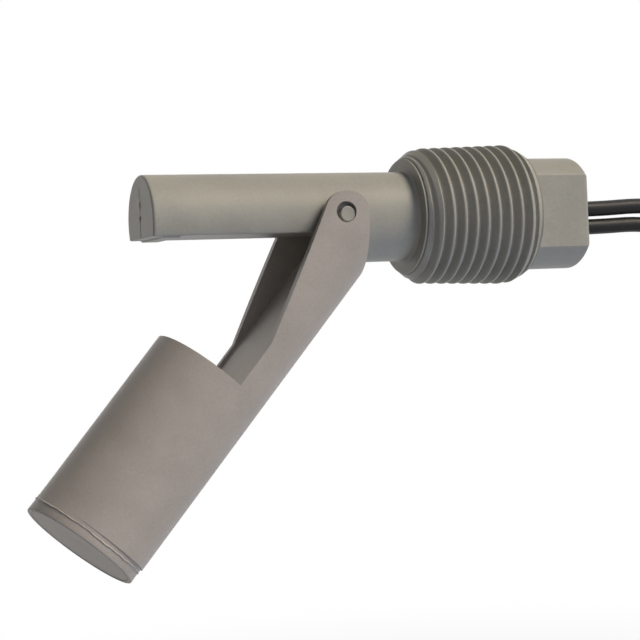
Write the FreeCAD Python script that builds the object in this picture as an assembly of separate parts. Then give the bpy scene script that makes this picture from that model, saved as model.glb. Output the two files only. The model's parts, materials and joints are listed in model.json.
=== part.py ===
"""Side-mounted hinged float level switch with a tapered pipe thread, in millimetres.

A moulded stem screws into a tank wall from outside, and a hollow float swings on two
trunnions near the stem's root. A magnet in the float closes a reed switch in the stem when
the liquid lifts the float in line with it.

+X runs along the thread from the stem's tip to the head and the leads, and +Z is up. The
origin is on the thread's axis, at the front end of the thread. The float hangs at its
lower stop.
"""
import FreeCAD
import Part

import math
import os

# ---- stem and hinge ----
STEM_DIAMETER = 13.2
PIVOT_SETBACK = 12.35        # from the thread's front end to the hinge axis
TIP_REACH = 27.95            # from the hinge axis to the stem's tip
FLAT_DROP = 2.3              # from the axis down to the flat that the arm folds against
FLAT_FILLET = 0.8            # where the flat ends, at the hinge axis
PAD_HEIGHT = 0.15            # the stop pad under the flat
PAD_LENGTH = 2.9
PAD_SETBACK = 2.6            # from the tip to the pad
ROOT_FILLET = 0.5            # between the stem and the thread's front face
TRUNNION_DIAMETER = 2.3
TRUNNION_INSET = 0.2         # how far a trunnion's end lies inside the ear's outer face

# ---- tapered pipe thread, 14 turns to the inch ----
PITCH = 25.4 / 14
TAPER = 1 / 16               # on diameter
THREAD_LENGTH = 19.5
CREST_DIAMETER = 20.0        # at the front end
THREAD_DEPTH = 1.2
THREAD_ANGLE = 60.0
CREST_FLAT = 0.3
FRONT_EDGE = 0.3             # the front face's broken edge
FRONT_CHAMFER = 2.0          # length of each end's chamfer, along the axis
REAR_CHAMFER = 2.4
CREST_PHASE = 1.87           # from the front end to the first crest on the -Y side

# ---- wrench head ----
HEAD_DIAMETER = 16.9
HEAD_LENGTH = 8.15
ACROSS_FLATS = 13.0
HEAD_ROUND = 0.8

# ---- float and its arm; distances along the arm are from the hinge axis ----
HANG_ANGLE = 49.2            # the arm below the horizontal at the lower stop
FLOAT_DIAMETER = 17.9
FLOAT_FRONT = 29.0
FLOAT_LENGTH = 30.5
FLOAT_WALL = 1.3
FRONT_WALL = 1.6
EAR_ROUND = 3.35             # radius of an ear's round end
EAR_HOLE_DIAMETER = 3.1
EAR_TAPER_ANGLE = 15.0       # the ear's long edge to the arm
ARM_END_ANGLE = 45.0         # the arm's end face to the arm
SIDE_GAP = 0.3               # between the stem and each ear
NEST_GAP = 0.15              # between the stop pad and the arm when the float is up
STOP_GAP = 0.15              # between the stem's root and the arm's saddle
CAP_THICKNESS = 2.1
CAP_STEP = 0.35              # the cap is this much smaller in radius than the float
CAP_DISH = 0.4
SPIGOT_HEIGHT = 1.6
SPIGOT_WALL = 1.2
WELD_BEAD = 0.3              # the flash that the welded cap leaves, in radius
FIT_GAP = 0.05               # between pieces that are pushed together

# ---- magnet ----
MAGNET_DIAMETER = 8.0
MAGNET_THICKNESS = 4.0
POCKET_WALL = 1.2
RETAINER_THICKNESS = 1.0

# ---- bores in the stem ----
TIP_WALL = 2.0
REED_BORE_DIAMETER = 4.6
REED_BORE_HEIGHT = 1.5       # its axis over the stem's axis
SPLICE_BORE_DIAMETER = 7.2
SPLICE_BORE_WALL = 1.2       # between the flat's end and the bore
POTTING_BORE_DIAMETER = 9.6
POTTING_BORE_START = 9.0     # from the thread's front end
POTTING_DEPTH = 0.5          # the potting ends this far inside the head's rear face

# ---- reed switch ----
GLASS_DIAMETER = 2.2
GLASS_LENGTH = 13.0
GLASS_WALL = 0.3
GLASS_SETBACK = 2.7          # from the end of the bore to the glass
BLADE_WIRE = 0.5
BLADE_WIDTH = 1.1
BLADE_THICKNESS = 0.2
BLADE_OVERLAP = 1.0
CONTACT_GAP = 0.1
REED_SLEEVE_WALL = 0.25
RETURN_SLEEVE_WALL = 0.25
GLASS_SEAL = 1.6             # the solid glass at each end

# ---- splices and leads ----
LEAD_DIAMETER = 2.38
LEAD_SPACING = 2.75          # between the leads where they leave the head
LEAD_PAIR_HEIGHT = -0.82     # the middle of the pair there, over the axis
LEAD_CLEARANCE = 0.07        # between the leads where their insulation starts
CONDUCTOR_DIAMETER = 0.9
SPLICE_LENGTH = 5.0
SPLICE_DIAMETER = 1.5
SPLICE_SETBACK = 1.95        # from the start of the splice bore to the splices
SPLICE_SLEEVE_WALL = 0.25
SPLICE_SLEEVE_OVERHANG = 0.6
SPLICE_BUTT_GAP = 0.4        # between the two wires' ends in a splice
STEP_RUN = 3.5               # straight insulation before the leads step down
STEP_LENGTH = 5.0            # the step itself, which ends before the potting
STRIPPED_LENGTH = 6.0
END_RUN = 5.0                # straight lead at the head and at the hank

# The free leads' route, chosen by hand: (x, y, z) of lead A, then of lead B.
LEAD_A_ROUTE = [
    (42.0, -0.1, 1.1),
    (51.5, -0.4, -0.2),
    (59.2, -1.15, -9.8),
]
LEAD_B_ROUTE = [
    (41.5, 0.1, -1.75),
    (49.6, 0.4, -3.6),
    (57.7, 1.15, -11.4),
]

# ---- hank of both leads ----
HANK_X = 72.4
HANK_TOP = -22.0             # where the leads go into it
HANK_LOOP_RADIUS = 11.9      # of its widest loop, to the lead's middle
HANK_LOOP_SPACING = 21.5     # between its top and bottom loops' centres
HANK_LAYERS = 4
LAYER_PITCH = 2.5            # a lead's diameter and a little slack
HANK_WAIST = 19.2
TIE_WIDTH = 3.0
TIE_THICKNESS = 1.0
TIE_HEAD = 4.2
# The leads' ends below the hank, chosen by hand.
TAIL_A_ROUTE = [(60.2, -4.0, -54.5), (59.3, -4.6, -63.5)]
TAIL_B_ROUTE = [(60.8, 4.0, -55.0), (61.6, 4.6, -66.0)]

X_AXIS = FreeCAD.Vector(1, 0, 0)
Y_AXIS = FreeCAD.Vector(0, 1, 0)
Z_AXIS = FreeCAD.Vector(0, 0, 1)

STEM_RADIUS = STEM_DIAMETER / 2
PIVOT_X = -PIVOT_SETBACK
TIP_X = PIVOT_X - TIP_REACH
HEAD_END = THREAD_LENGTH + HEAD_LENGTH
FLOAT_RADIUS = FLOAT_DIAMETER / 2
FLOAT_END = FLOAT_FRONT + FLOAT_LENGTH
TUBE_END = FLOAT_END - CAP_THICKNESS
FLOOR_DROP = FLAT_DROP + PAD_HEIGHT + NEST_GAP
EAR_INSIDE = STEM_RADIUS + SIDE_GAP
REED_BORE_END = TIP_X + TIP_WALL
SPLICE_BORE_X = PIVOT_X + SPLICE_BORE_WALL
REED_X = REED_BORE_END + GLASS_SETBACK
REED_SLEEVE_DIAMETER = GLASS_DIAMETER + 2 * FIT_GAP + 2 * REED_SLEEVE_WALL
REED_Z = REED_BORE_HEIGHT + (REED_BORE_DIAMETER - REED_SLEEVE_DIAMETER) / 2 - FIT_GAP
RETURN_DROP = LEAD_DIAMETER + LEAD_CLEARANCE
RETURN_Z = REED_Z - RETURN_DROP
POTTING_END = HEAD_END - POTTING_DEPTH
LEAD_A_Z = LEAD_PAIR_HEIGHT + LEAD_SPACING / 2
LEAD_B_Z = LEAD_PAIR_HEIGHT - LEAD_SPACING / 2


def vec(x, y=0.0, z=0.0):
    return FreeCAD.Vector(x, y, z)


def rod(x0, x1, diameter, y=0.0, z=0.0):
    """A cylinder along X between two stations."""
    return Part.makeCylinder(diameter / 2, x1 - x0, vec(x0, y, z), X_AXIS)


def tube(x0, x1, outer, inner, z=0.0):
    """A straight sleeve along X."""
    return rod(x0, x1, outer, z=z).cut(rod(x0 - 1, x1 + 1, inner, z=z))


def block(x0, x1, y0, y1, z0, z1):
    return Part.makeBox(x1 - x0, y1 - y0, z1 - z0, vec(x0, y0, z0))


def revolved(outline):
    """A solid of revolution about the X axis from (x, radius) points or ready-made edges."""
    edges = []
    last = None
    for step in outline:
        if isinstance(step, Part.Arc):
            edge = step.toShape()
            edges.append(edge)
            last = edge.Vertexes[-1].Point
            continue
        point = vec(step[0], 0, step[1])
        if last is not None and last.distanceToPoint(point) > 1e-6:
            edges.append(Part.makeLine(last, point))
        last = point
    face = Part.Face(Part.Wire(Part.__sortEdges__(edges)))
    return face.revolve(vec(0), X_AXIS, 360)


def arc_through(start, middle, end):
    return Part.Arc(*(vec(x, 0, z) for x, z in (start, middle, end)))


def crest_radius(x):
    return (CREST_DIAMETER + TAPER * x) / 2


def root_radius(x):
    return crest_radius(x) - THREAD_DEPTH


def front_edge_radius():
    return root_radius(0) - FRONT_EDGE


def build_stem_profile():
    """The stem, its root fillet, the thread's root cone and the round head, turned as one."""
    sag = ROOT_FILLET * (1 - math.sqrt(0.5))
    fillet = arc_through(
        (-ROOT_FILLET, STEM_RADIUS),
        (-sag, STEM_RADIUS + sag),
        (0, STEM_RADIUS + ROOT_FILLET),
    )
    corner = HEAD_ROUND * (1 - math.sqrt(0.5))
    head_radius = HEAD_DIAMETER / 2
    rear_round = arc_through(
        (HEAD_END - HEAD_ROUND, head_radius),
        (HEAD_END - corner, head_radius - corner),
        (HEAD_END, head_radius - HEAD_ROUND),
    )
    return revolved([
        (TIP_X, 0),
        (TIP_X, STEM_RADIUS),
        (-ROOT_FILLET, STEM_RADIUS),
        fillet,
        (0, front_edge_radius()),
        (FRONT_EDGE, root_radius(FRONT_EDGE)),
        (THREAD_LENGTH, root_radius(THREAD_LENGTH)),
        (THREAD_LENGTH, head_radius),
        (HEAD_END - HEAD_ROUND, head_radius),
        rear_round,
        (HEAD_END, 0),
        (TIP_X, 0),
    ])


def build_thread_ridge():
    """The thread's ridge: a V section swept along a conical right-hand helix."""
    lead_in = 2 * PITCH
    start = CREST_PHASE - PITCH * math.ceil(lead_in / PITCH)
    height = THREAD_LENGTH - start + PITCH
    half_angle = math.degrees(math.atan(TAPER / 2))
    helix = Part.makeHelix(PITCH, height, root_radius(start), half_angle)
    buried = 0.05
    base_radius = root_radius(start) - buried
    half_crest = CREST_FLAT / 2
    half_base = half_crest + (THREAD_DEPTH + buried) * math.tan(math.radians(THREAD_ANGLE / 2))
    section = Part.makePolygon([
        vec(base_radius, 0, -half_base),
        vec(crest_radius(start), 0, -half_crest),
        vec(crest_radius(start), 0, half_crest),
        vec(base_radius, 0, half_base),
        vec(base_radius, 0, -half_base),
    ])
    ridge = Part.Wire(helix).makePipeShell([section], True, True)
    # The helix climbs Z from the +X side; it is laid along X with its start on the -Y side.
    ridge.rotate(vec(0), Z_AXIS, 180)
    ridge.rotate(vec(0), Y_AXIS, 90)
    ridge.rotate(vec(0), X_AXIS, 90)
    ridge.translate(vec(start))
    return ridge


def build_thread_envelope():
    """What the ridge is trimmed to: the thread's length, with a cone for each end's chamfer."""
    front_root = front_edge_radius()
    front_slope = (crest_radius(FRONT_CHAMFER) - front_root) / FRONT_CHAMFER
    rear_root = root_radius(THREAD_LENGTH)
    rear_slope = (crest_radius(THREAD_LENGTH - REAR_CHAMFER) - rear_root) / REAR_CHAMFER
    # The two cones run on past the crests and meet where the ridge can't reach.
    top = (THREAD_LENGTH * rear_slope + rear_root - front_root) / (front_slope + rear_slope)
    return revolved([
        (0, 0),
        (0, front_root),
        (top, front_root + top * front_slope),
        (THREAD_LENGTH, rear_root),
        (THREAD_LENGTH, 0),
        (0, 0),
    ])


def wrench_flats():
    """The two slabs that the head loses to its wrench flats."""
    reach = HEAD_DIAMETER
    slabs = []
    for side in (-1, 1):
        inner, outer = sorted((side * ACROSS_FLATS / 2, side * reach))
        slabs.append(block(THREAD_LENGTH, HEAD_END + 1, inner, outer, -reach, reach))
    return slabs


def stem_underside():
    """What the flat takes from the stem: a slab as far as the hinge axis, with a rounded end."""
    width = STEM_DIAMETER
    slab = block(TIP_X - 1, PIVOT_X, -width, width, -width, -FLAT_DROP)
    corner = vec(PIVOT_X, 0, -FLAT_DROP)
    inner = [e for e in slab.Edges if e.CenterOfMass.distanceToPoint(corner) < 1e-6]
    return slab.makeFillet(FLAT_FILLET, inner)


def stop_pad():
    """The low pad under the flat, near the tip, which the arm meets when the float is up."""
    start = TIP_X + PAD_SETBACK
    margin = 0.4
    overlap = 0.3
    half = math.sqrt(STEM_RADIUS ** 2 - FLAT_DROP ** 2) - margin
    bottom = -FLAT_DROP - PAD_HEIGHT
    return block(start, start + PAD_LENGTH, -half, half, bottom, -FLAT_DROP + overlap)


def trunnions():
    """Both hinge pins, which are moulded with the stem and stand out of its sides."""
    end = FLOAT_RADIUS - TRUNNION_INSET
    chamfer = 0.25
    pin = Part.makeCylinder(TRUNNION_DIAMETER / 2, 2 * end, vec(PIVOT_X, -end, 0), Y_AXIS)
    rims = [e for e in pin.Edges if isinstance(e.Curve, Part.Circle)]
    return pin.makeChamfer(chamfer, rims)


def stem_bores():
    """The blind bore for the reed, the wider one for the splices, and the potting's."""
    return [
        rod(REED_BORE_END, SPLICE_BORE_X, REED_BORE_DIAMETER, z=REED_BORE_HEIGHT),
        rod(SPLICE_BORE_X, POTTING_BORE_START, SPLICE_BORE_DIAMETER),
        rod(POTTING_BORE_START, HEAD_END + 1, POTTING_BORE_DIAMETER),
    ]


def build_switch_body():
    body = build_stem_profile().cut(wrench_flats() + [stem_underside()])
    body = body.fuse([stop_pad(), trunnions()])
    ridge = build_thread_ridge().common(build_thread_envelope())
    return body.fuse(ridge).cut(stem_bores())


def make_tube_between(points, diameter, name):
    """A cord's tube: straight runs joined by tangent arcs, as large as the runs allow."""
    points = [vec(*p) for p in points]
    edges = []
    radii = []
    last = points[0]
    for before, corner, after in zip(points, points[1:], points[2:]):
        into = (corner - before).normalize()
        out = (after - corner).normalize()
        half_turn = into.getAngle(out) / 2
        reach = 0.45 * min(corner.distanceToPoint(before), corner.distanceToPoint(after))
        start = corner - into * reach
        end = corner + out * reach
        towards = (out - into).normalize()
        radius = reach / math.tan(half_turn)
        middle = corner + towards * (radius / math.cos(half_turn) - radius)
        edges.append(Part.LineSegment(last, start).toShape())
        edges.append(Part.Arc(start, middle, end).toShape())
        radii.append(radius)
        last = end
    edges.append(Part.LineSegment(last, points[-1]).toShape())
    path = Part.Wire(edges)
    circle = Part.makeCircle(diameter / 2, points[0], points[1] - points[0])
    solid = path.makePipe(Part.Face(Part.Wire(circle)))
    expected = math.pi * diameter ** 2 / 4 * path.Length
    print(
        f"{name}: {path.Length:.1f} mm, radii", [round(r, 1) for r in radii],
        f"volume {solid.Volume / expected:.4f} of section times length",
    )
    return solid


# ---- float ----

def arm_to_world(shape):
    """Places what is modelled level, with the arm towards -X, at the lower stop."""
    shape.translate(vec(PIVOT_X))
    shape.rotate(vec(PIVOT_X), Y_AXIS, -HANG_ANGLE)
    return shape


def arm_profile():
    """The arm from the side, level and with its hinge at the origin: ears, edge and end."""
    tilt = math.radians(EAR_TAPER_ANGLE)
    end = math.radians(ARM_END_ANGLE)
    ear_top = vec(-EAR_ROUND * math.sin(tilt), 0, EAR_ROUND * math.cos(tilt))
    taper_run = (ear_top.z + FLOOR_DROP) / math.tan(tilt)
    kink = vec(ear_top.x - taper_run, 0, -FLOOR_DROP)
    ear_back = vec(EAR_ROUND, 0, 0)
    back = vec(EAR_ROUND * math.sin(end), 0, -EAR_ROUND * math.cos(end))
    depth = FLOAT_RADIUS + 1
    back_run = (depth + back.z) / math.tan(end)
    bottom = vec(back.x - back_run, 0, -depth)
    overlap = 1.0
    front = -FLOAT_FRONT - overlap
    edges = [
        Part.makeLine(vec(front, 0, -FLOOR_DROP), kink),
        Part.makeLine(kink, ear_top),
        Part.Arc(ear_top, ear_back, back).toShape(),
        Part.makeLine(back, bottom),
        Part.makeLine(bottom, vec(front, 0, -depth)),
        Part.makeLine(vec(front, 0, -depth), vec(front, 0, -FLOOR_DROP)),
    ]
    return Part.Face(Part.Wire(edges))


def arm_channel():
    """The slot between the ears, and a ball-ended saddle that clears the stem's round root."""
    reach = FLOAT_DIAMETER
    slot = block(-FLOAT_FRONT, reach, -EAR_INSIDE, EAR_INSIDE, -FLOOR_DROP, reach)
    radius = STEM_RADIUS + STOP_GAP
    hang = math.radians(HANG_ANGLE)
    # The way that the stem's root points, seen from the arm at its lower stop.
    root = vec(math.cos(hang), 0, -math.sin(hang))
    saddle = Part.makeCylinder(radius, 2 * reach, vec(0), root)
    return slot.fuse([Part.makeSphere(radius), saddle])


def magnet_pocket():
    """The ring behind the float's front wall that the magnet is pushed into."""
    inside = -FLOAT_FRONT - FRONT_WALL
    depth = MAGNET_THICKNESS + RETAINER_THICKNESS
    bore = MAGNET_DIAMETER + 2 * FIT_GAP
    return tube(inside - depth, inside + FRONT_WALL / 2, bore + 2 * POCKET_WALL, bore)


def build_float_shell():
    """The arm and the float's tube, moulded in one: the arm continues the tube's cylinder."""
    arm = arm_profile().extrude(vec(0, FLOAT_DIAMETER, 0))
    arm.translate(vec(0, -FLOAT_RADIUS, 0))
    reach = FLOAT_DIAMETER
    arm = arm.common(rod(-FLOAT_FRONT - 1, reach, FLOAT_DIAMETER))
    arm = arm.cut(arm_channel())
    hole = Part.makeCylinder(EAR_HOLE_DIAMETER / 2, 2 * reach, vec(0, -reach, 0), Y_AXIS)
    barrel = rod(-TUBE_END, -FLOAT_FRONT, FLOAT_DIAMETER)
    inner = FLOAT_DIAMETER - 2 * FLOAT_WALL
    cavity = rod(-TUBE_END - 1, -FLOAT_FRONT - FRONT_WALL, inner)
    shell = arm.fuse(barrel).cut([hole, cavity])
    pocket = magnet_pocket()
    front = block(-FLOAT_FRONT - FRONT_WALL, 0, -reach, reach, -reach, reach)
    shell = shell.fuse(pocket.cut(front)).removeSplitter()
    return arm_to_world(shell)


def build_float_end_cap():
    """The welded cap: a dished disc with a spigot inside the tube and a bead at the seam."""
    radius = FLOAT_RADIUS - CAP_STEP
    spigot = FLOAT_RADIUS - FLOAT_WALL - FIT_GAP
    rim = 1.0
    edge = 0.3
    bead = arc_through(
        (-TUBE_END, FLOAT_RADIUS),
        (-TUBE_END - WELD_BEAD, FLOAT_RADIUS - WELD_BEAD / 2),
        (-TUBE_END - 2 * WELD_BEAD, radius),
    )
    cap = revolved([
        (-TUBE_END + SPIGOT_HEIGHT, spigot - SPIGOT_WALL),
        (-TUBE_END + SPIGOT_HEIGHT, spigot),
        (-TUBE_END, spigot),
        (-TUBE_END, FLOAT_RADIUS),
        bead,
        (-FLOAT_END + edge, radius),
        (-FLOAT_END, radius - edge),
        (-FLOAT_END, radius - rim),
        (-FLOAT_END + CAP_DISH, radius - rim - CAP_DISH),
        (-FLOAT_END + CAP_DISH, 0),
        (-TUBE_END, 0),
        (-TUBE_END, spigot - SPIGOT_WALL),
        (-TUBE_END + SPIGOT_HEIGHT, spigot - SPIGOT_WALL),
    ])
    return arm_to_world(cap)


def build_float_magnet():
    inside = -FLOAT_FRONT - FRONT_WALL
    return arm_to_world(rod(inside - MAGNET_THICKNESS, inside, MAGNET_DIAMETER))


def build_magnet_retainer():
    """The disc that is pressed into the pocket behind the magnet."""
    back = -FLOAT_FRONT - FRONT_WALL - MAGNET_THICKNESS
    return arm_to_world(rod(back - RETAINER_THICKNESS, back, MAGNET_DIAMETER))


# ---- reed switch ----

def build_reed_glass():
    """The glass capsule, drawn down to the wires at both ends."""
    outer = GLASS_DIAMETER / 2
    inner = outer - GLASS_WALL
    wire = BLADE_WIRE / 2
    start = REED_X
    end = REED_X + GLASS_LENGTH
    capsule = revolved([
        (start, wire),
        (start, wire + GLASS_WALL),
        (start + outer / 2, outer),
        (end - outer / 2, outer),
        (end, wire + GLASS_WALL),
        (end, wire),
        (end - GLASS_SEAL, wire),
        (end - GLASS_SEAL - inner, inner),
        (start + GLASS_SEAL + inner, inner),
        (start + GLASS_SEAL, wire),
        (start, wire),
    ])
    capsule.translate(vec(0, 0, REED_Z))
    return capsule


def paddle_reach():
    """From a glass end to where a blade's flattened part starts, clear of the cavity's taper."""
    return GLASS_SEAL + GLASS_DIAMETER / 2 - GLASS_WALL


def reed_paddle(x0, x1, side):
    """A blade's flattened part, half the contact gap over (1) or under (-1) the axis."""
    half = BLADE_WIDTH / 2
    z = REED_Z + side * (BLADE_THICKNESS + CONTACT_GAP) / 2
    return block(x0, x1, -half, half, z - BLADE_THICKNESS / 2, z + BLADE_THICKNESS / 2)


def glass_middle():
    return REED_X + GLASS_LENGTH / 2


def build_reed_blade_front():
    """The front blade; its lead folds back under the glass to the splices."""
    start = REED_X + paddle_reach()
    fold_x = REED_X - BLADE_WIRE
    section = Part.makeCircle(BLADE_WIRE / 2, vec(fold_x, 0, REED_Z), X_AXIS)
    middle = vec(fold_x, 0, REED_Z - RETURN_DROP / 2)
    fold = Part.Face(Part.Wire(section)).revolve(middle, -Y_AXIS, 180)
    sealed = rod(fold_x, start + BLADE_WIRE, BLADE_WIRE, z=REED_Z)
    returned = rod(fold_x, splice_middle() - SPLICE_BUTT_GAP / 2, BLADE_WIRE, z=RETURN_Z)
    paddle = reed_paddle(start, glass_middle() + BLADE_OVERLAP / 2, -1)
    return fold.fuse([sealed, returned, paddle]).removeSplitter()


def build_reed_blade_rear():
    """The rear blade, straight to its splice."""
    start = REED_X + GLASS_LENGTH - paddle_reach()
    wire = rod(start - BLADE_WIRE, splice_middle() - SPLICE_BUTT_GAP / 2, BLADE_WIRE, z=REED_Z)
    return wire.fuse(reed_paddle(glass_middle() - BLADE_OVERLAP / 2, start, 1)).removeSplitter()


def build_reed_sleeve():
    """The soft sleeve that holds the glass off the moulding."""
    margin = GLASS_DIAMETER / 2
    inner = GLASS_DIAMETER + 2 * FIT_GAP
    return tube(REED_X + margin, REED_X + GLASS_LENGTH - margin, REED_SLEEVE_DIAMETER, inner, z=REED_Z)


def build_return_sleeve():
    """The insulating sleeve on the folded-back lead."""
    inner = BLADE_WIRE + 2 * FIT_GAP
    end = splice_start() - SPLICE_SLEEVE_OVERHANG - FIT_GAP
    return tube(REED_X, end, inner + 2 * RETURN_SLEEVE_WALL, inner, z=RETURN_Z)


# ---- splices and potted leads ----

def splice_start():
    return SPLICE_BORE_X + SPLICE_SETBACK


def splice_middle():
    return splice_start() + SPLICE_LENGTH / 2


def build_splice(z):
    """A crimped ferrule that joins a reed wire to a lead's conductor, end to end."""
    bore = CONDUCTOR_DIAMETER
    ferrule = tube(splice_start(), splice_start() + SPLICE_LENGTH, SPLICE_DIAMETER, bore, z=z)
    throat = tube(splice_start(), splice_middle(), bore, BLADE_WIRE, z=z)
    return ferrule.fuse(throat).removeSplitter()


def build_splice_sleeve(z):
    """Heat-shrink tubing over a ferrule."""
    start = splice_start() - SPLICE_SLEEVE_OVERHANG
    end = splice_start() + SPLICE_LENGTH + SPLICE_SLEEVE_OVERHANG
    return tube(start, end, SPLICE_DIAMETER + 2 * SPLICE_SLEEVE_WALL, SPLICE_DIAMETER, z=z)


def insulation_start():
    return splice_start() + SPLICE_LENGTH + SPLICE_SLEEVE_OVERHANG + FIT_GAP


def build_conductor(z):
    """A lead's bare strands, from the splice to the insulation."""
    start = splice_middle() + SPLICE_BUTT_GAP / 2
    return rod(start, insulation_start(), CONDUCTOR_DIAMETER, z=z)


def build_lead_root(inner_z, exit_z, name):
    """A lead's potted stretch, which steps down from its splice to its exit."""
    start = insulation_start()
    step = start + STEP_RUN
    points = [
        (start, 0, inner_z), (step, 0, inner_z), (step + STEP_LENGTH, 0, exit_z), (HEAD_END, 0, exit_z),
    ]
    return make_tube_between(points, LEAD_DIAMETER, name)


def build_potting():
    """The resin that fills the rear bore around both leads."""
    fill = rod(POTTING_BORE_START, POTTING_END, POTTING_BORE_DIAMETER)
    leads = [
        rod(POTTING_BORE_START - 1, HEAD_END, LEAD_DIAMETER, z=z) for z in (LEAD_A_Z, LEAD_B_Z)
    ]
    return fill.cut(leads)


# ---- free leads ----

def hank_centre_z():
    return HANK_TOP - HANK_LOOP_SPACING / 2


def hank_thickness():
    return HANK_LAYERS * LAYER_PITCH


def build_free_lead(route, exit_z, side, name):
    """A lead from the head to its inner layer of the hank: lead A on the -Y side, B on the +Y."""
    x = HANK_X - HANK_LOOP_RADIUS
    y = side * LAYER_PITCH / 2
    points = [(HEAD_END, 0, exit_z), (HEAD_END + END_RUN, 0, exit_z)]
    points += route
    points += [(x, y, HANK_TOP + END_RUN), (x, y, HANK_TOP)]
    return make_tube_between(points, LEAD_DIAMETER, name)


def build_hank():
    """Both leads' put-away turns as one closed solid: two loops and the waist in the tie."""
    thickness = hank_thickness()
    radius = HANK_LOOP_RADIUS + LEAD_DIAMETER / 2
    centre = hank_centre_z()
    bottom = HANK_TOP - HANK_LOOP_SPACING
    loops = [
        Part.makeCylinder(radius, thickness, vec(HANK_X, -thickness / 2, z), Y_AXIS)
        for z in (bottom, HANK_TOP)
    ]
    solid = loops[0].fuse(loops[1])
    half = TIE_WIDTH / 2 + FIT_GAP
    grooves = []
    for side in (-1, 1):
        x0, x1 = sorted((HANK_X + side * HANK_WAIST / 2, HANK_X + side * 2 * radius))
        grooves.append(block(x0, x1, -thickness, thickness, centre - half, centre + half))
    solid = solid.cut(grooves)
    notch_x = HANK_X - HANK_LOOP_RADIUS + LEAD_DIAMETER
    reach = 2 * radius
    notches = [
        block(HANK_X - reach, notch_x, -thickness, thickness, HANK_TOP, HANK_TOP + reach),
        block(HANK_X - reach, notch_x, -thickness, thickness, bottom - reach, bottom),
    ]
    return solid.cut(notches).removeSplitter()


def build_hank_tie():
    """The band round the hank's waist, with its head on the -Y side."""
    centre = hank_centre_z()
    half_x = HANK_WAIST / 2 + FIT_GAP
    half_y = hank_thickness() / 2 + FIT_GAP
    z0 = centre - TIE_WIDTH / 2
    z1 = centre + TIE_WIDTH / 2
    outside = block(
        HANK_X - half_x - TIE_THICKNESS, HANK_X + half_x + TIE_THICKNESS,
        -half_y - TIE_THICKNESS, half_y + TIE_THICKNESS, z0, z1,
    )
    upright = [e for e in outside.Edges if abs(e.tangentAt(e.FirstParameter).z) > 0.9]
    outside = outside.makeFillet(TIE_THICKNESS, upright)
    inside = block(HANK_X - half_x, HANK_X + half_x, -half_y, half_y, z0 - 1, z1 + 1)
    head = block(
        HANK_X - TIE_HEAD / 2, HANK_X + TIE_HEAD / 2,
        -half_y - TIE_THICKNESS - TIE_HEAD / 2, -half_y - TIE_THICKNESS / 2,
        centre - TIE_HEAD / 2, centre + TIE_HEAD / 2,
    )
    return outside.fuse(head).cut(inside).removeSplitter()


def build_tail(route, side, name):
    """A lead's end, which hangs out of the hank's bottom loop from its outer layer."""
    x = HANK_X - HANK_LOOP_RADIUS
    y = side * 1.5 * LAYER_PITCH
    top = HANK_TOP - HANK_LOOP_SPACING
    return make_tube_between([(x, y, top), (x, y, top - END_RUN)] + route, LEAD_DIAMETER, name)


def build_stripped_end(route):
    """The tinned strands at a lead's end, in line with its last run."""
    before, end = (vec(*p) for p in route[-2:])
    return Part.makeCylinder(CONDUCTOR_DIAMETER / 2, STRIPPED_LENGTH, end, end - before)


BUILDERS = {
    "switch_body": build_switch_body,
    "float_shell": build_float_shell,
    "float_end_cap": build_float_end_cap,
    "float_magnet": build_float_magnet,
    "magnet_retainer": build_magnet_retainer,
    "reed_glass": build_reed_glass,
    "reed_blade_front": build_reed_blade_front,
    "reed_blade_rear": build_reed_blade_rear,
    "reed_sleeve": build_reed_sleeve,
    "return_lead_sleeve": build_return_sleeve,
    "splice_a": lambda: build_splice(REED_Z),
    "splice_b": lambda: build_splice(RETURN_Z),
    "splice_sleeve_a": lambda: build_splice_sleeve(REED_Z),
    "splice_sleeve_b": lambda: build_splice_sleeve(RETURN_Z),
    "conductor_a": lambda: build_conductor(REED_Z),
    "conductor_b": lambda: build_conductor(RETURN_Z),
    "lead_root_a": lambda: build_lead_root(REED_Z, LEAD_A_Z, "lead_root_a"),
    "lead_root_b": lambda: build_lead_root(RETURN_Z, LEAD_B_Z, "lead_root_b"),
    "potting": build_potting,
    "lead_a": lambda: build_free_lead(LEAD_A_ROUTE, LEAD_A_Z, -1, "lead_a"),
    "lead_b": lambda: build_free_lead(LEAD_B_ROUTE, LEAD_B_Z, 1, "lead_b"),
    "lead_hank": build_hank,
    "hank_tie": build_hank_tie,
    "lead_tail_a": lambda: build_tail(TAIL_A_ROUTE, -1, "lead_tail_a"),
    "lead_tail_b": lambda: build_tail(TAIL_B_ROUTE, 1, "lead_tail_b"),
    "stripped_end_a": lambda: build_stripped_end(TAIL_A_ROUTE),
    "stripped_end_b": lambda: build_stripped_end(TAIL_B_ROUTE),
}


def main():
    os.makedirs("parts", exist_ok=True)
    for name, build in BUILDERS.items():
        shape = build()
        if shape.ShapeType == "Compound" and len(shape.Solids) == 1:
            shape = shape.Solids[0]
        assert shape.isValid() and shape.Solids, name
        shape.exportStep(f"parts/{name}.step")
        box = shape.BoundBox
        low = [round(v, 2) for v in (box.XMin, box.YMin, box.ZMin)]
        high = [round(v, 2) for v in (box.XMax, box.YMax, box.ZMax)]
        print(f"{name}: {len(shape.Solids)} solid, {shape.Volume:.2f} mm3, {low} to {high}")


main()
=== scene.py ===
# %% [markdown]
# A float level switch: a grey plastic stem with a pipe thread and a wrench head, a hollow
# float hinged to the stem, and two black leads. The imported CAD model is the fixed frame.
# It could be shown as it is, but its curved faces are coarse, so most visible parts are
# drawn again here as smooth surfaces that take their places and sizes from the frame.

# %% Load the frame
import json
import math

import bmesh
import bpy
import numpy as np
from mathutils import Matrix, Vector


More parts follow.
